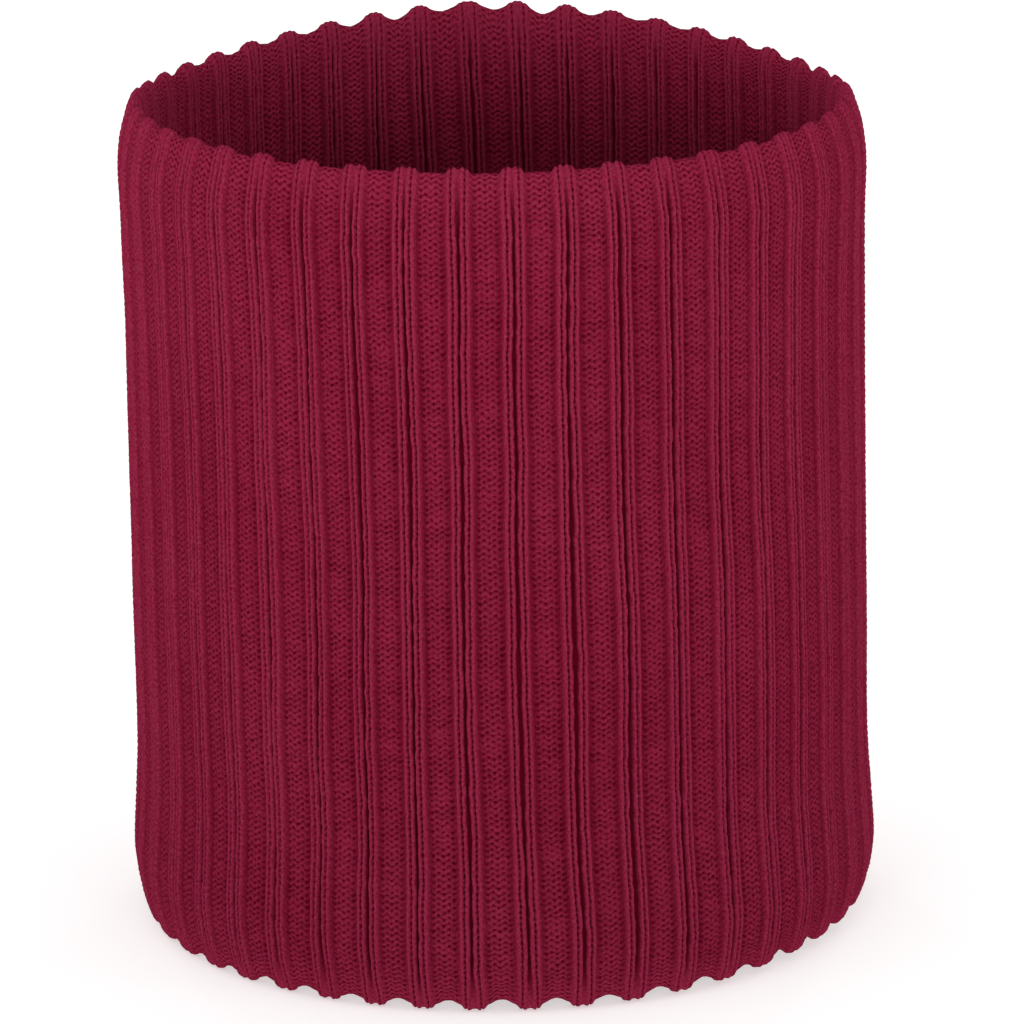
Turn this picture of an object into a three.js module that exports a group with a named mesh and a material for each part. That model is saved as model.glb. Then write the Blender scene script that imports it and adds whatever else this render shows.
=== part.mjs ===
// Neck gaiter: a double-walled tube of wide-rib knit. One knitted length is closed by a seam down
// its back, folded at the top rim and at the bottom hem, and its two ends are linked together in a
// ring low on the inner wall. A folded care label hangs from that ring inside the back.
// Millimetres, +Z up, origin at the centre of the bottom edge. The front faces -Y, the back +Y.

import * as THREE from 'three';

// ---- Driving dimensions -------------------------------------------------------------------------

const HEIGHT = 200;              // bottom edge to top rim
const WALL_RADIUS = 88.2;        // rib crests on the straight part of the outer wall
const HEM = { bulge: 1.8, curl: 3.4 };   // the wall swells out and its folded edge curls in,
const RIM = { bulge: 0.9, curl: 4 };     // both measured from the wall's radius
const CURL_HEIGHT = 16;          // from an edge to the fullest part of its bulge
const BULGE_HEIGHT = 40;         // from an edge to where the wall runs straight
const LAYER = 2.4;               // thickness of one layer of knit
const SPACE = 1.8;               // hidden space between the two layers
const EDGE_FLAT = 2;             // width of the flat that each folded edge rests on
const EDGE_ROUNDING = 5;         // from an edge to where its fold reaches its full thickness
const FOLD_DEPTH = 14;           // solid depth of a fold before the two layers part

const RIBS = 44;                 // rib repeats around the tube
const RIB_PHASE = 3.3;           // degrees from the front centre to the nearest groove, towards +X
const GROOVE_DEPTH = 1.5;
const PANEL_DEPTH = 0.6;         // the purl panel between two pairs of knit wales lies this low
const CREST_PHASE = 0.12;        // of one rib repeat, from the groove to the crest beside it
const PANEL_PHASE = 0.24;        // of one rib repeat, from the groove to the edge of the panel

const HEM_HEIGHT = 45;           // outer wall of the hem, from the bottom edge
const RIM_HEIGHT = 35;           // both walls of the rim, from the top edge
const RING_SEAM_HEIGHT = 44;     // the linking ring, from the bottom edge
const RING_SEAM_RADIUS = 1.3;    // of its round section
const CLEARANCE = 0.3;           // between touching pieces

const BACK_SEAM = { width: 5, thickness: 1.1, offset: 3.2 };
const LABEL = { width: 20, length: 34, ply: 0.35, slot: 0.3, gap: 1 };
const THREAD = { radius: 0.4, wave: 0.4, waves: 6, stepsPerWave: 6 };

// ---- Worked out from them -----------------------------------------------------------------------

const OUTER_INSIDE = WALL_RADIUS - LAYER;      // hidden face of the outer layer
const INNER_OUTSIDE = OUTER_INSIDE - SPACE;    // hidden face of the inner layer
const BORE_RADIUS = INNER_OUTSIDE - LAYER;     // rib crests on the inner wall
const RIM_BOTTOM = HEIGHT - RIM_HEIGHT;
const TURN_UP = RING_SEAM_HEIGHT - RING_SEAM_RADIUS - CLEARANCE;
const ABOVE_RING = RING_SEAM_HEIGHT + RING_SEAM_RADIUS + CLEARANCE;

// ---- Materials ----------------------------------------------------------------------------------

const finish = (color, roughness) =>
  new THREE.MeshStandardMaterial({ color, roughness, metalness: 0 });

const outerKnit = finish(0x8a1839, 0.92);
const innerKnit = finish(0x6d1230, 0.94);
const seamYarn = finish(0x7a1433, 0.85);
const labelTape = finish(0xe9e6df, 0.6);
const labelThread = finish(0xc9c4bb, 0.7);

// ---- Ribbed rings -------------------------------------------------------------------------------

// Where the surface is measured around one rib repeat, and how deep it lies there.
const RIB_STATIONS = [
  { phase: 0, depth: GROOVE_DEPTH },
  { phase: CREST_PHASE, depth: 0 },
  { phase: PANEL_PHASE, depth: PANEL_DEPTH },
  { phase: 1 - PANEL_PHASE, depth: PANEL_DEPTH },
  { phase: 1 - CREST_PHASE, depth: 0 },
];

// Which way the ribs' depth moves a point along the radius: into an outside or an inside face.
const OUTSIDE_FACE = -1;
const INSIDE_FACE = 1;
const PLAIN = 0;

const point = (radius, height, ribs = PLAIN) => ({ radius, height, ribs });

// A closed ring swept around the Z axis. The outline runs up its outer side and down its inner one.
function ribbedRing(outline) {
  const positions = [];
  const indices = [];
  const stations = RIBS * RIB_STATIONS.length;
  for (let rib = 0; rib < RIBS; rib += 1) {
    for (const { phase, depth } of RIB_STATIONS) {
      const angle = THREE.MathUtils.degToRad(RIB_PHASE + (360 * (rib + phase)) / RIBS);
      for (const { radius, height, ribs } of outline) {
        const r = radius + ribs * depth;
        positions.push(r * Math.sin(angle), -r * Math.cos(angle), height);
      }
    }
  }
  const vertex = (station, place) =>
    (station % stations) * outline.length + (place % outline.length);
  for (let station = 0; station < stations; station += 1) {
    for (let place = 0; place < outline.length; place += 1) {
      const a = vertex(station, place);
      const b = vertex(station + 1, place);
      const c = vertex(station + 1, place + 1);
      const d = vertex(station, place + 1);
      indices.push(a, b, c, a, c, d);
    }
  }
  const geometry = new THREE.BufferGeometry();
  geometry.setAttribute('position', new THREE.Float32BufferAttribute(positions, 3));
  geometry.setIndex(indices);
  geometry.computeVertexNormals();
  return geometry;
}

// ---- Walls and folds ----------------------------------------------------------------------------

// Radius of the outer wall's crests, by the distance from a folded edge.
function outerRadius(fromEdge, { bulge, curl }) {
  if (fromEdge < CURL_HEIGHT) {
    const turn = (Math.PI / 2) * (fromEdge / CURL_HEIGHT);
    return WALL_RADIUS - curl + (bulge + curl) * Math.sin(turn);
  }
  const ease = Math.min(1, (fromEdge - CURL_HEIGHT) / (BULGE_HEIGHT - CURL_HEIGHT));
  return WALL_RADIUS + (bulge * (1 + Math.cos(Math.PI * ease))) / 2;
}

// The outline of a folded edge, with heights counted from the edge: up the outer wall, down into
// the space between the layers, up again, and back down the inner wall.
function foldOutline(fold, outerLeg, innerLeg) {
  const outerHeights = [
    EDGE_ROUNDING, CURL_HEIGHT, (CURL_HEIGHT + BULGE_HEIGHT) / 2, outerLeg,
  ];
  const innerHeights = [innerLeg, CURL_HEIGHT, EDGE_ROUNDING];
  const edgeRadius = outerRadius(0, fold);
  return [
    point(edgeRadius, 0),
    ...outerHeights.map((height) => point(outerRadius(height, fold), height, OUTSIDE_FACE)),
    point(OUTER_INSIDE, outerLeg),
    point(OUTER_INSIDE, FOLD_DEPTH),
    point(INNER_OUTSIDE, FOLD_DEPTH),
    point(INNER_OUTSIDE, innerLeg),
    ...innerHeights.map((height) => point(BORE_RADIUS, height, INSIDE_FACE)),
    point(edgeRadius - EDGE_FLAT, 0),
  ];
}

// The same outline turned over, so that its edge is the top rim.
function turnedOver(outline) {
  return outline.map(({ radius, height, ribs }) => point(radius, HEIGHT - height, ribs)).reverse();
}

// A straight stretch of one layer. Only the side that shows has ribs, and the other is plain.
function straightLayer(outside, inside, bottom) {
  const top = RIM_BOTTOM - CLEARANCE;
  return ribbedRing([
    point(outside.radius, bottom, outside.ribs),
    point(outside.radius, top, outside.ribs),
    point(inside.radius, top, inside.ribs),
    point(inside.radius, bottom, inside.ribs),
  ]);
}

function hemFold() {
  return ribbedRing(foldOutline(HEM, HEM_HEIGHT, TURN_UP));
}

function rimFold() {
  return ribbedRing(turnedOver(foldOutline(RIM, RIM_HEIGHT, RIM_HEIGHT)));
}

function outerLayer() {
  return straightLayer(
    { radius: WALL_RADIUS, ribs: OUTSIDE_FACE },
    { radius: OUTER_INSIDE, ribs: PLAIN },
    HEM_HEIGHT + CLEARANCE,
  );
}

function innerLayer() {
  return straightLayer(
    { radius: INNER_OUTSIDE, ribs: PLAIN },
    { radius: BORE_RADIUS, ribs: INSIDE_FACE },
    ABOVE_RING,
  );
}

// ---- Seams --------------------------------------------------------------------------------------

// The ring of linking stitches that joins the two ends of the knitted length.
function ringSeam() {
  const sides = 8;
  const centre = BORE_RADIUS + RING_SEAM_RADIUS + CLEARANCE / 2;
  const section = [];
  for (let side = 0; side <= sides; side += 1) {
    const turn = (2 * Math.PI * (side % sides)) / sides;
    section.push(new THREE.Vector2(
      centre + RING_SEAM_RADIUS * Math.cos(turn), RING_SEAM_RADIUS * Math.sin(turn),
    ));
  }
  return new THREE.LatheGeometry(section, 2 * RIBS).rotateX(Math.PI / 2);
}

// One stretch of the back seam: the joined selvedges, a flat ridge in the space between the layers.
function backSeam(bottom, top) {
  return new THREE.BoxGeometry(BACK_SEAM.width, BACK_SEAM.thickness, top - bottom);
}

// ---- Care label ---------------------------------------------------------------------------------

// Distance of the label's middle plane from the Z axis. Its edges stay clear of the curved wall.
const labelPlane = (() => {
  const wallAtEdge = Math.sqrt(BORE_RADIUS ** 2 - (LABEL.width / 2) ** 2);
  return wallAtEdge - LABEL.gap - LABEL.ply - LABEL.slot / 2;
})();
const threadHeight = RING_SEAM_HEIGHT + 0.4;
const labelTop = threadHeight - THREAD.wave - THREAD.radius - 0.9;

// A ribbon folded in half: two plies that meet in a round fold at the bottom.
function careLabel() {
  const outside = LABEL.ply + LABEL.slot / 2;
  const inside = LABEL.slot / 2;
  const foldHeight = outside - LABEL.length;
  const ribbon = new THREE.Shape();
  ribbon.moveTo(outside, 0);
  ribbon.lineTo(inside, 0);
  ribbon.lineTo(inside, foldHeight);
  ribbon.absarc(0, foldHeight, inside, 0, -Math.PI, true);
  ribbon.lineTo(-inside, 0);
  ribbon.lineTo(-outside, 0);
  ribbon.lineTo(-outside, foldHeight);
  ribbon.absarc(0, foldHeight, outside, -Math.PI, 0, false);
  ribbon.closePath();
  const geometry = new THREE.ExtrudeGeometry(ribbon, {
    depth: LABEL.width, bevelEnabled: false, curveSegments: 6,
  });
  // The outline's x becomes Y and its y becomes Z, and the extrusion runs along X.
  return geometry.translate(0, 0, -LABEL.width / 2).applyMatrix4(
    new THREE.Matrix4().makeBasis(
      new THREE.Vector3(0, 1, 0), new THREE.Vector3(0, 0, 1), new THREE.Vector3(1, 0, 0),
    ),
  );
}

// The thread that sews the label to the ring seam: it weaves up and down along the wall.
function labelStitches() {
  const radius = BORE_RADIUS - THREAD.radius - CLEARANCE;
  const steps = THREAD.waves * THREAD.stepsPerWave;
  const halfAngle = Math.asin(LABEL.width / 2 / radius);
  const route = [];
  for (let step = 0; step <= steps; step += 1) {
    const along = step / steps;
    const angle = halfAngle * (2 * along - 1);
    const lift = THREAD.wave * Math.sin(2 * Math.PI * THREAD.waves * along);
    route.push(new THREE.Vector3(radius * Math.sin(angle), radius * Math.cos(angle), lift));
  }
  const section = new THREE.Shape();
  section.absarc(0, 0, THREAD.radius, 0, 2 * Math.PI, false);
  return new THREE.ExtrudeGeometry(section, {
    extrudePath: new THREE.CatmullRomCurve3(route), steps, curveSegments: 3,
    bevelEnabled: false,
  });
}

// ---- The gaiter ---------------------------------------------------------------------------------

const gaiter = new THREE.Group();

function add(name, geometry, material, x = 0, y = 0, z = 0) {
  const mesh = new THREE.Mesh(geometry, material);
  mesh.name = name;
  mesh.position.set(x, y, z);
  gaiter.add(mesh);
}

const seamTop = HEIGHT - FOLD_DEPTH - CLEARANCE;
const seamDepth = (OUTER_INSIDE + INNER_OUTSIDE) / 2;
const outerSeamBottom = FOLD_DEPTH + CLEARANCE;
const innerSeamBottom = ABOVE_RING + CLEARANCE;

add('hem_fold', hemFold(), outerKnit);
add('outer_layer', outerLayer(), outerKnit);
add('inner_layer', innerLayer(), innerKnit);
add('rim_fold', rimFold(), outerKnit);
add('ring_seam', ringSeam(), seamYarn, 0, 0, RING_SEAM_HEIGHT);
add('outer_back_seam', backSeam(outerSeamBottom, seamTop), seamYarn,
  -BACK_SEAM.offset, seamDepth, (outerSeamBottom + seamTop) / 2);
add('inner_back_seam', backSeam(innerSeamBottom, seamTop), seamYarn,
  BACK_SEAM.offset, seamDepth, (innerSeamBottom + seamTop) / 2);
add('care_label', careLabel(), labelTape, 0, labelPlane, labelTop);
add('label_stitches', labelStitches(), labelThread, 0, 0, threadHeight);

export default gaiter;
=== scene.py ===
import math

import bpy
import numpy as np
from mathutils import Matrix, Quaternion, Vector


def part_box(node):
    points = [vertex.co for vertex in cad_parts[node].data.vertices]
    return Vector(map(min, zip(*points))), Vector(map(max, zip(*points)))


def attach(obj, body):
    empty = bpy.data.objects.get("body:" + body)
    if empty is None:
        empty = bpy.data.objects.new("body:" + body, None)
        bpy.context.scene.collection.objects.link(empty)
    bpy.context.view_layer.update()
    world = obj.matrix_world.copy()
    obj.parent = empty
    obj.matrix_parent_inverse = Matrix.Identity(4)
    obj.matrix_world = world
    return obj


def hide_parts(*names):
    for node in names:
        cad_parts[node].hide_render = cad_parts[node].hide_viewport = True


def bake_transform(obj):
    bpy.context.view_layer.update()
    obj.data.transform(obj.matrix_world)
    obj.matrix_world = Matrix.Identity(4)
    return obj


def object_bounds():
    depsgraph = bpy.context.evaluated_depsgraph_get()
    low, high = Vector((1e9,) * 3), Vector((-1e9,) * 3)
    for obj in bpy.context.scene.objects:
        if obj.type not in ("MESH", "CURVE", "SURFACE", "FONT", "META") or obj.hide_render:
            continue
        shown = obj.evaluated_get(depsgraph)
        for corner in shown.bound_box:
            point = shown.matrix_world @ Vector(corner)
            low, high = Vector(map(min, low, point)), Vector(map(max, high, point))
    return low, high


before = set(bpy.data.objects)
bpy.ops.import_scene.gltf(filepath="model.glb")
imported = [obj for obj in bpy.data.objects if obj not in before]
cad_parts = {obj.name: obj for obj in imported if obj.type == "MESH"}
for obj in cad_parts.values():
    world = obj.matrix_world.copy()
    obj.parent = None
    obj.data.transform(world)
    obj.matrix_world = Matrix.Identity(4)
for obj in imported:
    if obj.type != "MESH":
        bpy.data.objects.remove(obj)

# A knitted neck gaiter. The knit is made stitch by stitch as one surface that runs from the ring
# seam, round the hem, up the outer wall, over the rim and down the inner wall back to the ring
# seam. Along that run the surface is counted in courses (rows of stitches), and round the tube in
# rib repeats. Lengths are metres, and MM turns millimetres into them.

MM = 0.001
cad_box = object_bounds()

# ---- Camera -------------------------------------------------------------------------------------

AIM = Vector((3.3 * MM, 0, 96.3 * MM))
DISTANCE = 1.8
ELEVATION = math.radians(15.8)
ROLL = math.radians(-1.06)                   # the gaiter leans a little to the left
SENSOR = 36                                  # millimetres, as Blender counts sensors and lenses
LENS = 264.5


def make_camera():
    camera = bpy.data.objects.new("camera", bpy.data.cameras.new("camera"))
    bpy.context.scene.collection.objects.link(camera)
    back = Vector((0, -math.cos(ELEVATION), math.sin(ELEVATION)))
    camera.location = AIM + DISTANCE * back
    camera.rotation_mode = "QUATERNION"
    camera.rotation_quaternion = (-back).to_track_quat("-Z", "Y") @ Quaternion((0, 0, 1), ROLL)
    camera.data.sensor_width = SENSOR
    camera.data.lens = LENS
    bpy.context.scene.camera = camera


make_camera()

# ---- What the frame says ------------------------------------------------------------------------

HEIGHT = cad_box[1].z
HEM_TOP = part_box("hem_fold")[1].z
RIM_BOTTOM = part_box("rim_fold")[0].z
HEM_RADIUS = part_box("hem_fold")[1].x         # where the wall is fullest, above the hem
RIM_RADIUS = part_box("rim_fold")[1].x         # and below the rim
WALL_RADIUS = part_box("outer_layer")[1].x     # of the rib crests on the outer wall
LAYER = 2.4 * MM                             # thickness of one layer of knit
BORE_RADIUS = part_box("inner_layer")[1].x - LAYER
RING_LOW, RING_HIGH = (corner.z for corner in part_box("ring_seam"))

# ---- The knit's measures ------------------------------------------------------------------------

RIBS = 44                                    # rib repeats round the tube
RIB_PHASE = math.radians(3.3)                # from the front centre to the nearest groove
PITCH = 2 * math.pi * WALL_RADIUS / RIBS     # width of one rib repeat
COURSE = 1.48 * MM                           # height of one row of stitches
HIDDEN_ROW = 6 * MM                          # the mesh's rows on the side that doesn't show

GROOVE_EDGE = 0.031                          # of a rib repeat, from the middle of the groove
WALE_EDGE = 0.212                            # outer edge of the knit wale beside the groove
WALE_MIDDLE = (GROOVE_EDGE + WALE_EDGE) / 2
WALE_HALF = (WALE_EDGE - GROOVE_EDGE) / 2
PURL_WALE = 0.195                            # width of one of the three purl wales
WAVE = 0.25                                  # of a course, swing of the purl stitches' yarn
GROOVE_DEPTH = 1.9 * MM
PANEL_DEPTH = 0.60 * MM
PANEL_EDGE_DEPTH = 0.90 * MM                 # more than that beside the knit wales
CORD_DEPTH = 0.70 * MM                       # of the furrows beside each leg of a knit stitch
HOLE_DEPTH = 0.55 * MM                       # of the holes down the middle of a knit wale
SLANT_DEPTH = 0.17 * MM                      # of the slanting yarns that make up each leg
GAP_DEPTH = 0.22 * MM                        # between one purl yarn and the next
TURN_DEPTH = 0.45 * MM                       # more than that where the yarns turn

HEM_REACH = 7 * MM                           # how far up the hem's own shape is felt
RIM_REACH = 8 * MM                           # and how far down the rim's
HEM_FLATTENING = 0.60                        # share of the relief that is lost at the hem
RIM_FLATTENING = 0.50                        # and at the rim
BACK_FLATTENING = 0.28                       # more than that at the back of the rim
GROOVE_FLATTENING = 0.40                     # share that the grooves lose first, at both edges
HEM_GAPE = 0.30 * MM                         # how far the grooves open at the hem
HEM_LIFT = 0.05 * MM                         # how far the whole hem is raised
HEM_SCALLOP = 1.8 * MM                       # how far the panels draw back along the hem
HEM_RIGHT_RISE = 2.2 * MM                    # how far the hem stands up at the right
RIM_SCALLOP = 1.0 * MM                       # how far the panels draw back along the rim
BACK_SCALLOP = 2.2                           # times as far at the back of the rim
RIM_LIFT = 1.0 * MM                          # how far the knit wales stand up at the rim
RIM_RIGHT_FALL = 1.0 * MM                    # how far the rim hangs down at the right
RAGGED = 0.15 * MM                           # how far both edges draw back, on average


def columns():
    """Where the surface is sampled across one rib repeat, from one groove to the next."""
    wale = [0.053, 0.076, 0.099, 0.1215, 0.144, 0.167, 0.190]
    side = [0.0, 0.015, GROOVE_EDGE, *wale, WALE_EDGE]
    panel = np.linspace(WALE_EDGE, 1 - WALE_EDGE, 17)[1:-1]
    return np.concatenate([side, panel, 1 - np.array(side[:0:-1])])


COLUMNS = columns()

# ---- The line that the knit follows -------------------------------------------------------------


def smooth_through(points, steps=24):
    """A smooth curve through points, as a Catmull-Rom spline. Its two ends run on straight."""
    p = np.array(points, float)
    p = np.vstack([2 * p[0] - p[1], p, 2 * p[-1] - p[-2]])
    t = np.linspace(0, 1, steps, endpoint=False)[:, None]
    runs = []
    for a, b, c, d in zip(p, p[1:], p[2:], p[3:]):
        runs.append(
            0.5 * (2 * b + (c - a) * t + (2 * a - 5 * b + 4 * c - d) * t**2
                   + (3 * b - a - 3 * c + d) * t**3)
        )
    return np.vstack([*runs, p[-2:-1]])


def crest_line():
    """The rib crests in the (radius, height) plane, from the ring seam all the way round to it."""
    wall, bore, top = WALL_RADIUS / MM, BORE_RADIUS / MM, HEIGHT / MM
    hem, rim = HEM_RADIUS / MM, RIM_RADIUS / MM
    inside_hem = [
        (bore, RING_LOW / MM), (bore, 28), (bore, 14), (bore, 6), (bore + 0.6, 1.8),
    ]
    outside_hem = [
        (bore + 2.6, 0), (bore + 4.6, 0.6), (hem - 2.5, 3.4), (hem - 1.4, 7.5), (hem - 0.7, 12),
        (hem - 0.3, 18), (hem - 1.1, 30),
    ]
    outer_wall = [(wall, 43), (wall, 70), (wall, 100), (wall - 0.2, 140), (wall, 170)]
    outside_rim = [
        (rim - 0.5, top - 18), (rim - 0.8, top - 12), (rim - 1.5, top - 8), (rim - 2.7, top - 4),
        (rim - 3.7, top - 1.3), (rim - 5.1, top),
    ]
    inside_rim = [
        (bore + 1.1, top - 0.8), (bore + 0.4, top - 2.6), (bore, top - 8), (bore, top - 18),
        (bore, 150), (bore, 100), (bore, RING_HIGH / MM),
    ]
    return MM * smooth_through(
        inside_hem + outside_hem + outer_wall + outside_rim + inside_rim
    )


class FabricRun:
    """A line in the (radius, height) plane, measured by the length of knit along it."""

    def __init__(self, line):
        self.line = line
        steps = np.linalg.norm(np.diff(line, axis=0), axis=1)
        self.along = np.concatenate([[0], np.cumsum(steps)])
        self.length = float(self.along[-1])

    def at(self, s):
        """(radius, height) at lengths s."""
        return np.stack([np.interp(s, self.along, self.line[:, k]) for k in (0, 1)], axis=-1)

    def out(self, s):
        """Which way the fabric's visible side faces at lengths s, in the same plane."""
        reach = 0.3 * MM
        ahead = self.at(np.minimum(s + reach, self.length))
        behind = self.at(np.maximum(s - reach, 0))
        t = ahead - behind
        t /= np.linalg.norm(t, axis=-1, keepdims=True)
        return np.stack([t[..., 1], -t[..., 0]], axis=-1)

    def course_at(self, height, inner=False):
        """The whole course nearest to this height, on the outer wall or the inner one."""
        lowest = self.along[np.argmin(self.line[:, 1])]
        highest = self.along[np.argmax(self.line[:, 1])]
        if inner:
            on = self.along >= highest
        else:
            on = (self.along >= lowest) & (self.along <= highest)
        order = np.argsort(self.line[on, 1])
        length = np.interp(height, self.line[on, 1][order], self.along[on][order])
        return round(float(length) / COURSE)


run = FabricRun(crest_line())

# ---- Uneven hand --------------------------------------------------------------------------------


def spline_weights(x, cells, wraps):
    """Cubic B-spline weights of a line of cells at places x: one row of weights to each place."""
    base = np.floor(x).astype(int)
    f = x - base
    parts = [(1 - f)**3, 3 * f**3 - 6 * f**2 + 4, -3 * f**3 + 3 * f**2 + 3 * f + 1, f**3]
    weights = np.zeros((len(x), cells))
    for k, part in enumerate(parts):
        cell = base + k - 1
        cell = cell % cells if wraps else np.clip(cell, 0, cells - 1)
        np.add.at(weights, (np.arange(len(x)), cell), part / 6)
    return weights


def unevenness(seed, around, along, s, turn):
    """Smooth seeded noise, about -1 to 1: so many cells round the tube, each so long along it."""
    cells = int(run.length / along) + 4
    values = np.random.default_rng(seed).uniform(-1.6, 1.6, (cells, around))
    down = spline_weights(s / along + 1, cells, wraps=False)
    across = spline_weights(turn * around, around, wraps=True)
    return down @ values @ across.T


# ---- The stitches -------------------------------------------------------------------------------


def wale_depth(from_groove, course, uneven):
    """Depth of a knit wale: two cords side by side, with a hole between them at every course."""
    x = (from_groove - WALE_MIDDLE) / WALE_HALF
    off_cord = np.clip((np.abs(x) - 0.5) / 0.5, -1, 1)
    furrow = CORD_DEPTH * (1 - np.sqrt(1 - off_cord**2))
    beat = 0.3 + 0.7 * (0.5 + 0.5 * np.cos(2 * np.pi * course))
    hole = HOLE_DEPTH * np.exp(-((x / 0.2) ** 2)) * beat
    slant = 0.5 + 0.5 * np.cos(2 * np.pi * (course - 0.55 * np.abs(x)))
    return furrow + hole * (1 + 0.4 * uneven) + SLANT_DEPTH * slant


def panel_depth(phase, course, uneven):
    """Depth of the purl panel: one wavy yarn to a course, with gaps where the waves turn."""
    x = (phase - 0.5) / PURL_WALE
    turning = np.cos(2 * np.pi * x)
    between = (0.5 + 0.5 * np.cos(2 * np.pi * (course + WAVE * turning))) ** 1.6
    edge = (0.5 - WALE_EDGE) / PURL_WALE
    ground = PANEL_DEPTH + PANEL_EDGE_DEPTH * np.abs(x / edge) ** 3
    return ground + (GAP_DEPTH + TURN_DEPTH * turning**2) * between * (1 + 0.6 * uneven)


def smooth_step(x, start, end):
    t = np.clip((x - start) / (end - start), 0, 1)
    return t * t * (3 - 2 * t)


def visible_depth(phase, course, uneven, fuzz, at_edge):
    """Depth of the knit's visible side below the rib crests, before an edge flattens it all."""
    from_groove = np.minimum(phase, 1 - phase)
    stitches = np.where(
        from_groove <= WALE_EDGE,
        wale_depth(from_groove, course, uneven),
        panel_depth(phase, course, uneven),
    )
    deepest = np.where(from_groove < 0.01, 1, 0.8)
    groove = GROOVE_DEPTH * deepest * (1 - GROOVE_FLATTENING * at_edge)
    return np.where(from_groove < GROOVE_EDGE, groove, stitches + fuzz)


def edge_lifts(phase, angle, uneven_edge, ragged):
    """How far the hem and the rim rise, rib by rib and round the tube. Round the back, the slope
    lowers the rim by up to 2.3 mm on each side, and raises it by 2.9 mm in the middle."""
    from_groove = np.minimum(phase, 1 - phase)
    in_panel = 0.5 - 0.5 * np.cos(2 * np.pi * phase)
    right = np.maximum(np.sin(angle), 0)
    back = np.maximum(-np.cos(angle), 0)
    hem = HEM_SCALLOP * uneven_edge * in_panel**1.4
    hem = hem + HEM_LIFT + HEM_RIGHT_RISE * right**2 + ragged
    knobs = smooth_step(from_groove, 0.08, 0.30) * (1 - back)
    waves = BACK_SCALLOP * in_panel * back
    slope = MM * (1.5 * back**12 + 11.8 * back**2 - 10.4 * back) - RIM_RIGHT_FALL * right
    rim = RIM_LIFT - RIM_SCALLOP * uneven_edge * (knobs + waves) + slope - ragged
    return hem, rim


def knit_grid(s, hidden):
    """The knit at lengths s, all round the tube: its points, its depth below the crests as a
    share of the grooves', and its uneven course count."""
    phase = np.tile(COLUMNS, RIBS)
    rib = np.repeat(np.arange(RIBS) - RIBS // 2, len(COLUMNS))
    turn = (rib + phase) / RIBS
    from_groove = np.minimum(phase, 1 - phase)

    def noise(seed, around, along):
        return unevenness(seed, around, along, s, turn)

    line, out = run.at(s), run.out(s)
    height = line[:, 1:2]
    at_hem = np.exp(-((height / HEM_REACH) ** 2))
    at_rim = np.exp(-(((HEIGHT - height) / RIM_REACH) ** 2))

    # The ribs wander. The grooves' widths vary, and gape where the knit bends round the hem.
    aside = MM * (
        1.1 * noise(1, 22, 60 * MM) + 0.4 * noise(2, 44, 18 * MM) + 0.1 * noise(3, 176, 3 * MM)
    )
    side = np.where(phase > 0.5, -1, 1) * np.exp(-(((from_groove - 0.03) / 0.13) ** 2))
    uneven_gape = MM * (0.22 * noise(4, 44, 25 * MM) + 0.17 * noise(14, 132, 1.1 * MM))
    gape = side * (uneven_gape + HEM_GAPE * at_hem)
    angle = RIB_PHASE + 2 * math.pi * turn + (aside + gape) / WALL_RADIUS
    back = np.maximum(-np.cos(angle), 0)
    rim_flattening = RIM_FLATTENING + BACK_FLATTENING * back
    flattened = 1 - rim_flattening * at_rim - HEM_FLATTENING * at_hem

    jitter = 0.16 * noise(5, 264, 2.0 * MM) + 0.16 * noise(15, 528, 1.2 * MM)
    course = s[:, None] / COURSE + jitter + 0.35 * noise(6, 22, 30 * MM)
    if hidden:
        depth = LAYER * flattened
    else:
        uneven = noise(7, 264, 1.4 * MM)
        fuzz = 0.05 * MM * noise(8, 528, 0.6 * MM) + 0.14 * MM * noise(9, 44, 14 * MM)
        depth = visible_depth(phase, course, uneven, fuzz, at_hem + at_rim) * flattened

    # The wall isn't quite round, and its edges rise and fall with the ribs.
    swell = 0.45 * MM * noise(10, 9, 70 * MM) + 0.22 * MM * noise(11, 22, 30 * MM)
    swell = np.maximum(swell, -0.3 * MM) * np.clip(out[:, 0:1], 0.35, 1)
    uneven_edge = 1 + 0.45 * noise(12, 44, 200 * MM)
    ragged = RAGGED * (1 + noise(13, 22, 200 * MM))
    hem_lift, rim_lift = edge_lifts(phase, angle, uneven_edge, ragged)
    lift = at_hem * hem_lift + at_rim * rim_lift

    radius = line[:, 0:1] + (swell - depth) * out[:, 0:1]
    z = np.maximum(height + (swell - depth) * out[:, 1:2] + lift, 0)    # it rests on the floor
    points = np.stack([radius * np.sin(angle), -radius * np.cos(angle), z], axis=-1)
    return points, depth / GROOVE_DEPTH, course


# ---- Meshes -------------------------------------------------------------------------------------


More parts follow.
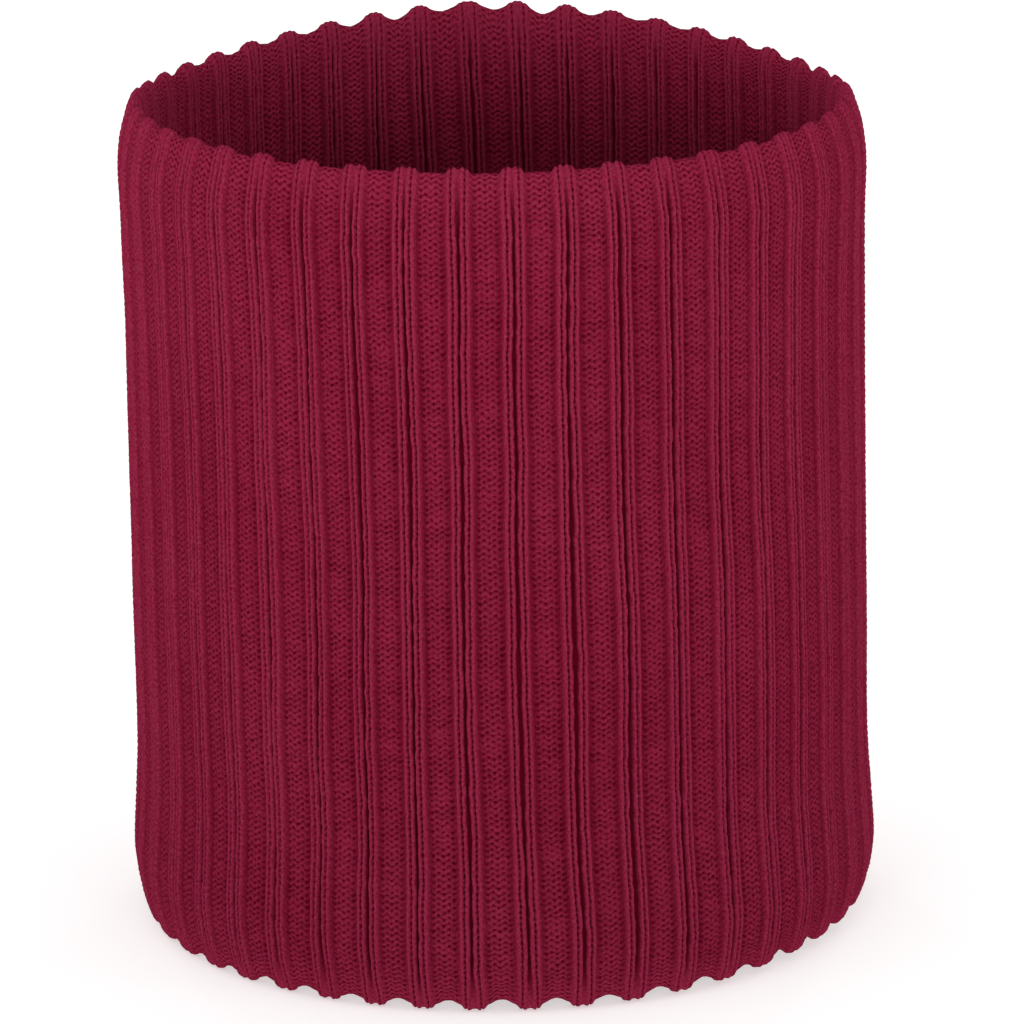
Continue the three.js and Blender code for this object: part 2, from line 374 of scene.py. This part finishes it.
def grid_object(name, points, across, along, closed, normals=None, **point_values):
    """A smooth mesh from rows of points. Where it is closed, its last row joins its first, or its
    last column its first. across and along are the UV of each point, with one more column or row
    than the points have where the grid is closed. Where normals are zero, Blender finds them."""
    rows, cols = points.shape[:2]
    i, j = np.meshgrid(
        np.arange(rows - 1 + closed[0]), np.arange(cols - 1 + closed[1]), indexing="ij"
    )
    at_row = np.stack([i, i, i + 1, i + 1], axis=-1).reshape(-1, 4)
    at_col = np.stack([j, j + 1, j + 1, j], axis=-1).reshape(-1, 4)
    faces = at_row % rows * cols + at_col % cols
    uv = np.stack([across[at_row, at_col], along[at_row, at_col]], axis=-1)
    mesh = bpy.data.meshes.new(name)
    mesh.vertices.add(rows * cols)
    mesh.vertices.foreach_set("co", points.astype(np.float32).ravel())
    mesh.loops.add(faces.size)
    mesh.loops.foreach_set("vertex_index", faces.astype(np.int32).ravel())
    mesh.polygons.add(len(faces))
    mesh.polygons.foreach_set("loop_start", np.arange(0, faces.size, 4, dtype=np.int32))
    mesh.polygons.foreach_set("use_smooth", np.ones(len(faces), bool))
    mesh.uv_layers.new(name="cloth").data.foreach_set("uv", uv.astype(np.float32).ravel())
    for key, values in point_values.items():
        attribute = mesh.attributes.new(key, "FLOAT", "POINT")
        attribute.data.foreach_set("value", values.astype(np.float32).ravel())
    mesh.update(calc_edges=True)
    if normals is not None:
        mesh.normals_split_custom_set_from_vertices(normals.reshape(-1, 3))
    piece = bpy.data.objects.new(name, mesh)
    bpy.context.scene.collection.objects.link(piece)
    return piece


def row_normals(s, step):
    """The knit's normals along the row at length s, from the rows on both sides of it, so that
    light doesn't show where one piece ends and the next begins."""
    nearby = np.clip([s - step, s, s + step], 0, run.length)
    below, here, above = knit_grid(nearby, hidden=False)[0]
    normals = np.cross(np.roll(here, -1, axis=0) - np.roll(here, 1, axis=0), above - below)
    return normals / np.linalg.norm(normals, axis=1, keepdims=True)


def knit_piece(name, first_course, last_course, rows_per_course):
    """A closed stretch of the knit, with its visible side in fine rows and its back in coarse.
    Its UV counts rib repeats and courses."""
    count = (last_course - first_course) * rows_per_course
    shown = np.linspace(first_course, last_course, count + 1) * COURSE
    shown = np.clip(shown, 0, run.length)
    back = np.linspace(shown[-1], shown[0], max(3, round(np.ptp(shown) / HIDDEN_ROW)))
    sides = [knit_grid(shown, hidden=False), knit_grid(back, hidden=True)]
    points, depth, course = (np.concatenate(pair) for pair in zip(*sides))
    repeats = np.append((np.arange(RIBS)[:, None] + COLUMNS[None, :]).ravel(), RIBS)
    course = np.vstack([course, course[:1]])
    course = np.hstack([course, course[:, :1]])
    across = np.broadcast_to(repeats, course.shape)
    normals = np.zeros_like(points)
    for row in (0, len(shown) - 1):
        normals[row] = row_normals(shown[row], COURSE / rows_per_course)
    return grid_object(name, points, across, course, (True, True), normals, depth=depth)


def rope(name, path, outward, radius, plies, ridges, closed, sides=12):
    """A cord along a path, with so many plies twisted round it that its length crosses so many
    ridges. outward is any direction away from the path, at each of its points. An open cord ends
    in rounded tips. Its UV is turns round it, and millimetres along it."""
    ahead, behind = np.roll(path, -1, axis=0), np.roll(path, 1, axis=0)
    steps = np.linalg.norm(ahead - path, axis=1)
    if not closed:
        ahead[-1], behind[0], steps[-1] = path[-1], path[0], 0
    length = np.append(0, np.cumsum(steps))
    share = length[:-1, None] / length[-1]
    along = (ahead - behind) / np.linalg.norm(ahead - behind, axis=1, keepdims=True)
    sideways = np.cross(along, outward)
    sideways /= np.linalg.norm(sideways, axis=1, keepdims=True)
    upward = np.cross(sideways, along)
    turn = np.arange(sides) / sides
    ridge = np.abs(np.cos(np.pi * (plies * turn - ridges * share))) ** 0.6
    if closed:
        tip = np.ones_like(share)
    else:
        from_end = np.minimum(share, 1 - share) * length[-1] / radius
        tip = np.sqrt(np.clip(1 - (1 - np.minimum(from_end + 0.02, 1)) ** 2, 0, 1))
    r = (radius * tip * (0.74 + 0.26 * ridge))[..., None]
    angle = (2 * np.pi * turn)[None, :, None]
    offset = np.cos(angle) * upward[:, None] + np.sin(angle) * sideways[:, None]
    points = path[:, None] + r * offset
    rows = len(path) + closed
    across = np.broadcast_to(np.append(turn, 1), (rows, sides + 1))
    uv_along = np.broadcast_to(length[:rows, None] / MM, across.shape)
    # depth is highest between the plies, and the wool and thread materials paint shade there with
    # it.
    return grid_object(
        name, points, across, uv_along, (closed, True), depth=1 - ridge + 0 * share
    )


def selvedge_strip(name, node):
    """Two rolled selvedges side by side, joined by slanting stitches, where the CAD has a strip.
    Its UV is turns round it, and millimetres along it."""
    low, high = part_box(node)
    rows = round((high.z - low.z) / (0.4 * MM)) + 1
    z = np.linspace(low.z, high.z, rows)[:, None]
    sides = 24
    turn = np.arange(sides) / sides
    x = np.cos(2 * np.pi * turn)
    x = np.sign(x) * np.abs(x) ** 0.7
    side = np.sign(np.sin(2 * np.pi * turn + 1e-6))
    roll = np.abs(np.sin(np.pi * x)) ** 0.6
    stitch = 0.5 + 0.5 * np.cos(2 * np.pi * (z / COURSE - 0.8 * np.abs(x)))
    end = smooth_step(np.minimum(z - low.z, high.z - z), -0.1 * MM, 1.2 * MM)
    y = side * end * (0.18 + 0.57 * roll + 0.25 * stitch * roll)
    middle, half = (low + high) / 2, (high - low) / 2
    points = np.stack([middle.x + half.x * x + 0 * y, middle.y + half.y * y, z + 0 * y], axis=-1)
    across = np.broadcast_to(np.append(turn, 1), (rows, sides + 1))
    along = np.broadcast_to(z / MM, across.shape)
    # depth is highest between the rolls and stitches, and the wool material paints shade there
    # with it.
    depth = 1 - roll * (0.4 + 0.6 * stitch)
    return grid_object(name, points, across, along, (False, True), depth=depth)


def folded_tape(name, node, ply):
    """A ribbon folded in half where the CAD has it, with its two ends sewn together at the top,
    bowing a little away from the wall. Its UV is millimetres across the ribbon and along it."""
    low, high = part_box(node)
    middle, half = (low + high) / 2, (high - low) / 2
    bend = half.y - ply / 2                  # radius of the middle of the ply round a fold
    straight = high.z - low.z - 2 * half.y
    down = np.linspace(0, straight, 70)
    fold = np.linspace(0, np.pi, 12)[1:-1]
    y = np.concatenate([
        0 * down + bend, bend * np.cos(fold), 0 * down - bend, -bend * np.cos(fold),
    ])
    z = np.concatenate([-down, -straight - bend * np.sin(fold), -down[::-1], bend * np.sin(fold)])
    step_y, step_z = (np.roll(value, -1) - np.roll(value, 1) for value in (y, z))
    step = np.hypot(step_y, step_z)
    length = np.append(0, np.cumsum(np.hypot(np.diff(y, append=y[0]), np.diff(z, append=z[0]))))
    width = 20                               # in millimetres, as the places across it are
    edge = np.array([0, 0.03, 0.1, 0.25, 0.5])
    places = [edge, np.linspace(1, width - 1, 37), width - edge[::-1]]
    x = np.concatenate(places) / (width / 2) - 1
    flat, rounded = 0.98, 0.0201             # of half the width: its flat part, and its edge
    thick = ply / 2 * np.sqrt(1 - np.clip((np.abs(x) - flat) / rounded, 0, 1) ** 2)
    lean, cup, ripple = 1.1 * MM, 0.5 * MM, 0.12 * MM
    sides = []
    for side in (-1, 1):
        at_y = y[:, None] - side * thick * (step_z / step)[:, None]
        at_z = z[:, None] + side * thick * (step_y / step)[:, None]
        hang = np.clip(-at_z / straight, 0, 1)
        bow = lean * hang**2 + cup * hang * x**2 + ripple * np.sin(9 * hang + 2 * x)
        at_x = middle.x + half.x * x + 0 * at_y
        sides.append(np.stack([at_x, middle.y + at_y - bow, high.z - half.y + at_z], axis=-1))
    points = np.concatenate([sides[0], sides[1][:, ::-1]], axis=1)
    across = np.concatenate([x, x[::-1], x[:1]]) * half.x / MM
    along = np.broadcast_to(length[:, None] / MM, (len(length), len(across)))
    across = np.broadcast_to(across, along.shape)
    return grid_object(name, points, across, along, (True, True))


# ---- Materials ----------------------------------------------------------------------------------


class Material:
    """A few words for building a node material on a piece's UV, here called x and y."""

    def __init__(self, name, sockets):
        self.material = bpy.data.materials.new(name)
        self.material.use_nodes = True
        self.tree = self.material.node_tree
        self.shader = self.tree.nodes["Principled BSDF"]
        for key, value in sockets.items():
            self.shader.inputs[key].default_value = value
        self.uv = self.node("ShaderNodeUVMap", uv_map="cloth").outputs[0]
        split = self.node("ShaderNodeSeparateXYZ", {0: self.uv})
        self.x, self.y = split.outputs[0], split.outputs[1]

    def node(self, kind, inputs=(), **settings):
        made = self.tree.nodes.new(kind)
        for key, value in settings.items():
            setattr(made, key, value)
        for key, value in dict(inputs).items():
            if isinstance(value, bpy.types.NodeSocket):
                self.tree.links.new(value, made.inputs[key])
            else:
                made.inputs[key].default_value = value
        return made

    def math(self, operation, a, b=0.0):
        return self.node("ShaderNodeMath", {0: a, 1: b}, operation=operation).outputs[0]

    def chain(self, value, *steps):
        """value, taken through (operation, number or socket) pairs in turn."""
        for operation, other in steps:
            value = self.math(operation, value, other)
        return value

    def noise(self, cell, detail=2):
        """Noise whose features are cell wide and high, in the UV's own units."""
        scale = (1 / cell[0], 1 / cell[1], 1)
        place = self.node("ShaderNodeMapping", {"Vector": self.uv, "Scale": scale})
        inputs = {"Vector": place.outputs[0], "Scale": 1.0, "Detail": detail}
        return self.node("ShaderNodeTexNoise", inputs).outputs[0]

    def spread(self, value, low, high, start=0.3, end=0.7):
        """A value between start and end, turned into one between low and high."""
        inputs = {"Value": value, 1: start, 2: end, 3: low, 4: high}
        return self.node("ShaderNodeMapRange", inputs).outputs[0]

    def mix(self, share, a, b):
        made = self.node("ShaderNodeMix", data_type="RGBA")
        for key, value in (("Factor_Float", share), ("A_Color", a), ("B_Color", b)):
            socket = next(s for s in made.inputs if s.identifier == key)
            if isinstance(value, bpy.types.NodeSocket):
                self.tree.links.new(value, socket)
            else:
                socket.default_value = value
        return next(s for s in made.outputs if s.identifier == "Result_Color")

    def set(self, socket, value):
        self.tree.links.new(value, self.shader.inputs[socket])

    def bump(self, height, distance, strength=1.0):
        inputs = {"Height": height, "Distance": distance, "Strength": strength}
        self.set("Normal", self.node("ShaderNodeBump", inputs).outputs[0])


def stitch_holes(made):
    """The gaps between stitches, from 0 to 1: one to each course down the middle of a knit wale,
    and one wherever the yarn of a purl stitch turns."""
    turn = 2 * math.pi
    phase = made.math("FRACT", made.x)
    from_groove = made.math("PINGPONG", made.x, 0.5)
    beat = made.chain(made.y, ("MULTIPLY", turn), ("COSINE", 0), ("MULTIPLY", 0.5), ("ADD", 0.5))
    x = made.chain(from_groove, ("SUBTRACT", WALE_MIDDLE), ("DIVIDE", 0.20 * WALE_HALF))
    ridge = made.chain(x, ("MULTIPLY", x), ("MULTIPLY", -1), ("EXPONENT", 0))
    wale = made.chain(beat, ("MULTIPLY", 0.75), ("ADD", 0.25), ("MULTIPLY", ridge))
    swing = made.chain(
        phase, ("SUBTRACT", 0.5), ("MULTIPLY", turn / PURL_WALE), ("COSINE", 0)
    )
    line = made.chain(
        swing, ("MULTIPLY", WAVE), ("ADD", made.y), ("MULTIPLY", turn), ("COSINE", 0),
        ("MULTIPLY", 0.5), ("ADD", 0.5), ("MAXIMUM", 0), ("POWER", 1.7),
    )
    turning = made.chain(swing, ("MULTIPLY", swing), ("MULTIPLY", 0.5), ("ADD", 0.5))
    purl = made.math("MULTIPLY", line, turning)
    in_panel = made.spread(from_groove, 0, 1, WALE_EDGE - 0.01, WALE_EDGE + 0.03)
    return made.math("ADD", made.math("MULTIPLY", purl, in_panel), wale)


def wool(made, millimetre, light, dark, painted_shade, holes=None):
    """Soft wool: heathered between two shades, with painted shade in its furrows and holes, where
    its colour is mixed towards a third, darker colour. millimetre is how long a millimetre is in
    the UV's units, across and along."""
    across, along = millimetre
    heather = made.spread(made.noise((0.35 * across, 0.7 * along), 3), 0.1, 1, 0.28, 0.70)
    patches = made.spread(made.noise((30 * across, 45 * along), 2), -0.04, 0.04)
    yarn = made.mix(made.chain(heather, ("ADD", patches)), dark, light)
    depth = made.node("ShaderNodeAttribute", attribute_name="depth").outputs["Fac"]
    # Painted shade: the further the knit lies below its crests, the more its colour is mixed
    # towards the shade colour.
    furrow = made.spread(depth, 0, 0.9, 0.18, 0.9)
    fibres = made.noise((0.2 * across, 0.2 * along), 3)
    height = made.chain(fibres, ("MULTIPLY", 0.4))
    if holes is not None:
        # Painted shade in the gaps between stitches: the holes darken the colour as well as
        # bumping it in, some more than others.
        uneven_holes = made.spread(made.noise((1.1 * across, 1.1 * along), 2), 0.55, 1.2, 0.35, 0.6)
        holes = made.chain(holes, ("MULTIPLY", uneven_holes))
        furrow = made.chain(furrow, ("MAXIMUM", holes))
        height = made.chain(height, ("SUBTRACT", holes))
    made.set("Base Color", made.mix(furrow, yarn, painted_shade))
    made.set("Roughness", made.spread(made.noise((0.5 * across, 0.5 * along)), 0.82, 0.98))
    made.bump(height, 0.35 * MM, 0.7)
    return made.material


SOFT = {"Specular IOR Level": 0.0}


def knit_material(name, light, dark, painted_shade):
    made = Material(name, SOFT)
    return wool(made, (1 / (PITCH / MM), 1 / (COURSE / MM)), light, dark, painted_shade, stitch_holes(made))


def yarn_material(name, turns, light, dark, painted_shade):
    """For a piece whose UV is turns round it and millimetres along it."""
    return wool(Material(name, SOFT), (turns, 1), light, dark, painted_shade)


def tape_material(name, light, dark):
    """Satin-woven ribbon, with a denser edge down each side."""
    made = Material(name, {"Sheen Weight": 0.2, "Sheen Roughness": 0.3, "Specular IOR Level": 0.4})
    thread = 0.22                            # width of one thread, in millimetres
    turn = 2 * math.pi / thread
    warp = made.chain(made.x, ("MULTIPLY", turn), ("COSINE", 0))
    weft = made.chain(made.y, ("MULTIPLY", turn), ("COSINE", 0))
    float_over = made.noise((0.5, 0.9), 2)
    weave = made.chain(warp, ("MULTIPLY", float_over), ("ADD", made.math("MULTIPLY", weft, 0.4)))
    selvedge = made.spread(made.math("ABSOLUTE", made.x), 0, 1, 8.8, 9.2)
    denser = made.math("MULTIPLY", selvedge, 0.35)
    shade = made.chain(weave, ("MULTIPLY", 0.25), ("ADD", 0.3), ("ADD", denser))
    made.set("Base Color", made.mix(shade, light, dark))
    made.set("Roughness", made.spread(made.noise((3, 6)), 0.38, 0.6))
    made.bump(made.math("ADD", weave, selvedge), 0.06 * MM, 0.6)
    return made.material


def thread_material(name, light, dark):
    """Twisted polyester thread."""
    made = Material(name, {"Specular IOR Level": 0.5, "Sheen Weight": 0.1})
    depth = made.node("ShaderNodeAttribute", attribute_name="depth").outputs["Fac"]
    strand = made.noise((0.06, 0.5), 2)
    # Darker between the plies, where depth is high: painted shade. The strand noise is the
    # thread's own uneven tone.
    shade = made.chain(strand, ("MULTIPLY", 0.5), ("ADD", depth))
    made.set("Base Color", made.mix(shade, light, dark))
    made.set("Roughness", made.spread(strand, 0.35, 0.6))
    made.bump(strand, 0.05 * MM, 0.5)
    return made.material


# In both wools below, the third colour is painted shade, mixed in where the knit or yarn lies
# deepest.
crimson = knit_material(
    "crimson_knit", light=(0.300, 0.0280, 0.0690, 1), dark=(0.175, 0.0010, 0.0200, 1),
    painted_shade=(0.110, 0.0001, 0.0080, 1),
)
seam_yarn = yarn_material(
    "crimson_seam_yarn", turns=0.12, light=(0.210, 0.0180, 0.0480, 1),
    dark=(0.120, 0.0040, 0.0160, 1), painted_shade=(0.060, 0.0004, 0.0045, 1),
)
white_tape = tape_material("woven_tape", light=(0.80, 0.78, 0.73, 1), dark=(0.52, 0.50, 0.46, 1))
# The dark colour serves both the thread's uneven tone and the painted shade between its plies.
ecru_thread = thread_material(
    "sewing_thread", light=(0.72, 0.69, 0.62, 1), dark=(0.30, 0.28, 0.24, 1)
)

# ---- The knit's pieces --------------------------------------------------------------------------

HEM_END = run.course_at(HEM_TOP)
RIM_START = run.course_at(RIM_BOTTOM)
RIM_END = run.course_at(RIM_BOTTOM, inner=True)
LAST = math.ceil(run.length / COURSE)

hem_knit = knit_piece("hem_knit", 0, HEM_END, 4)
outer_knit = knit_piece("outer_knit", HEM_END, RIM_START, 4)
rim_knit = knit_piece("rim_knit", RIM_START, RIM_END, 4)
inner_knit = knit_piece("inner_knit", RIM_END, LAST, 3)

# ---- The seams and the label --------------------------------------------------------------------


def ring(radius, height, steps):
    """A level circle round the tube, and its outward directions."""
    angle = 2 * np.pi * np.arange(steps) / steps
    outward = np.stack([np.sin(angle), -np.cos(angle), 0 * angle], axis=-1)
    return radius * outward + (0, 0, height), outward


def ring_seam():
    """The two ends of the knit, overcast together: twelve stitches to a rib repeat."""
    low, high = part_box("ring_seam")
    radius = (high.z - low.z) / 2
    path, outward = ring(high.x - radius, (low.z + high.z) / 2, 12 * RIBS * 7)
    return rope("ring_seam_yarn", path, outward, radius, 1, 12 * RIBS, closed=True)


def label_thread():
    """The thread that sews the label to the ring seam, in loops that reach down to its top edge.
    They end beside the hinge, on the wall's side. At rest the label touches some of them."""
    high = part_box("label_stitches")[1]
    label_low, label_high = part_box("care_label")
    radius, loops = 0.4 * MM, 7
    wall = BORE_RADIUS - radius - 0.3 * MM
    half_label = (label_high.y - label_low.y) / 2
    clear = half_label + radius + 0.05 * MM  # from the hinge to the middle of the thread
    above = math.radians(30)                 # how far up from level the loops end beside it
    beside = label_low.y + half_label + clear * math.cos(above)
    bottom = label_high.z - half_label + clear * math.sin(above)
    top = high.z - radius
    share = np.linspace(0, 1, 60 * loops + 1)
    down = 0.5 - 0.5 * np.cos(2 * np.pi * loops * share)    # 0 at the seam, 1 at the label
    angle = math.asin(label_high.x / wall) * (2 * share - 1)
    outward = np.stack([np.sin(angle), np.cos(angle), 0 * angle], axis=-1)
    y = wall * np.cos(angle) * (1 - down) + beside * down
    path = np.stack([wall * np.sin(angle), y, top + (bottom - top) * down], axis=-1)
    return rope("label_thread", path, outward, radius, 2, 12 * loops, closed=False)


ring_yarn = ring_seam()
outer_selvedge = selvedge_strip("outer_selvedge", "outer_back_seam")
inner_selvedge = selvedge_strip("inner_selvedge", "inner_back_seam")
label = folded_tape("folded_label", "care_label", 0.35 * MM)
stitches = label_thread()

# ---- What each piece is, and what it moves with -------------------------------------------------


def finish(piece, node, material, body=None):
    """Give a piece its material, and its CAD node's place, and hide the node. With a body it is
    parented to that body; without one its place is baked into its mesh."""
    piece.data.materials.append(material)
    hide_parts(node)
    if body:
        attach(piece, body)
    else:
        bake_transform(piece)


finish(hem_knit, "hem_fold", crimson, "hem")
finish(outer_knit, "outer_layer", crimson)
finish(rim_knit, "rim_fold", crimson, "rim")
finish(inner_knit, "inner_layer", crimson)
finish(ring_yarn, "ring_seam", seam_yarn, "hem")
finish(outer_selvedge, "outer_back_seam", seam_yarn)
finish(inner_selvedge, "inner_back_seam", seam_yarn)
finish(label, "care_label", white_tape, "label")
finish(stitches, "label_stitches", ecru_thread, "hem")


# ---- Floor and light ----------------------------------------------------------------------------

FLOOR_GLOW = 0.50
WORLD_LIGHT = 0.72
LAMP_DISTANCE = 2.0
LAMPS = {                                    # degrees round from the front, degrees up, watts
    "key": (-24, 7, 32),
    "fill": (24, 7, 17),
    "left": (-64, 4, 26),
    "right": (64, 9, 21),
    "back_right": (160, 7, 40),
    "back_left": (-160, 7, 40),
}


def make_floor():
    """White paper on a light table, so that the object's shadow on it stays pale."""
    bpy.ops.mesh.primitive_plane_add(size=30)
    floor = bpy.context.object
    floor.name = "floor"
    paper = Material("paper", {
        "Base Color": (0.85, 0.85, 0.85, 1), "Roughness": 0.9, "Specular IOR Level": 0.0,
        "Emission Color": (1, 1, 1, 1), "Emission Strength": FLOOR_GLOW,
    })
    floor.data.materials.append(paper.material)


def soft_spot(name, azimuth, elevation, power):
    """A soft lamp, 30 cm across, that points just above the rim. Azimuth 0 is the front, and 90
    the right."""
    lamp = bpy.data.lights.new(name, "SPOT")
    lamp.energy = power
    lamp.shadow_soft_size = 0.15
    lamp.spot_size = math.radians(18)
    lamp.spot_blend = 1.0
    light = bpy.data.objects.new(name, lamp)
    bpy.context.scene.collection.objects.link(light)
    a, e = math.radians(azimuth), math.radians(elevation)
    towards = Vector((math.sin(a) * math.cos(e), -math.cos(a) * math.cos(e), math.sin(e)))
    light.location = Vector((0, 0, HEIGHT + 40 * MM)) + LAMP_DISTANCE * towards
    light.rotation_mode = "QUATERNION"
    light.rotation_quaternion = towards.to_track_quat("Z", "Y")


make_floor()
for lamp_name, (azimuth, elevation, watts) in LAMPS.items():
    soft_spot(lamp_name, azimuth, elevation, watts)

world = bpy.data.worlds.new("studio")
world.use_nodes = True
world.node_tree.nodes["Background"].inputs[0].default_value = (1, 1, 1, 1)
world.node_tree.nodes["Background"].inputs[1].default_value = WORLD_LIGHT
bpy.context.scene.world = world
bpy.context.scene.view_settings.view_transform = "Standard"
